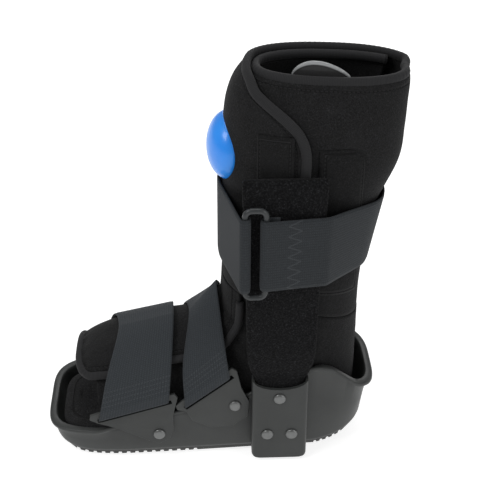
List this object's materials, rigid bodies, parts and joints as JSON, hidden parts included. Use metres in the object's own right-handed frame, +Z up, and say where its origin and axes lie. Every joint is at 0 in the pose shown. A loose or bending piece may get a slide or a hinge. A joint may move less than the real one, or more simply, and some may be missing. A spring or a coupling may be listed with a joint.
{
  "type": "medical walking boot",
  "caption": "Short pneumatic walking boot: rocker sole shell with side uprights, wrap liner, webbing straps and a pump bulb holds foot and ankle for walking.",
  "frame": {"origin": "middle of the flat part of the sole's lower face, below the uprights' centreline", "axes": "+Z up the leg, -X to the toes, -Y to the boot's left side, which the picture shows"},
  "size_m": [0.2761, 0.1272, 0.3302],
  "materials": {
    "plastic": "satin moulded dark grey",
    "rubber": "matt",
    "foam": "brushed foam laminate, near black",
    "tape": "charcoal binding tape",
    "loop": "black loop pile with grey flecks",
    "webbing": "blue-grey ribbed webbing",
    "rivet": "domed heads",
    "bulb": "soft blue moulding",
    "vinyl": "thin welded film",
    "ring": "dark grey gloss"
  },
  "bodies": {
    "root": {"shell": "plastic", "outsole": "rubber", "insole": "foam", "leg_wrap_inner": "foam", "leg_wrap_outer": "foam", "binding_inner": "tape", "binding_outer": "tape", "foot_wrap_inner": "foam", "foot_wrap_outer": "foam", "binding_foot": "tape", "pump_bulb": "bulb", "air_bladder": "vinyl", "side_patch": "loop", "flap_panel": "loop", "upright_cover_left": "loop", "bracket_left": "plastic", "bracket_rivet_top_left": "rivet", "bracket_rivet_front_left": "rivet", "bracket_rivet_back_left": "rivet", "front_wing_left": "plastic", "front_wing_rivet_left": "rivet", "instep_wing_left": "plastic", "instep_wing_rivet_left": "rivet", "upright_cover_right": "loop", "bracket_right": "plastic", "bracket_rivet_top_right": "rivet", "bracket_rivet_front_right": "rivet", "bracket_rivet_back_right": "rivet", "front_wing_right": "plastic", "front_wing_rivet_right": "rivet", "instep_wing_right": "plastic", "instep_wing_rivet_right": "rivet", "front_strap": "webbing", "instep_strap": "webbing", "calf_strap": "webbing", "ring": "ring"}
  },
  "joints": []
}
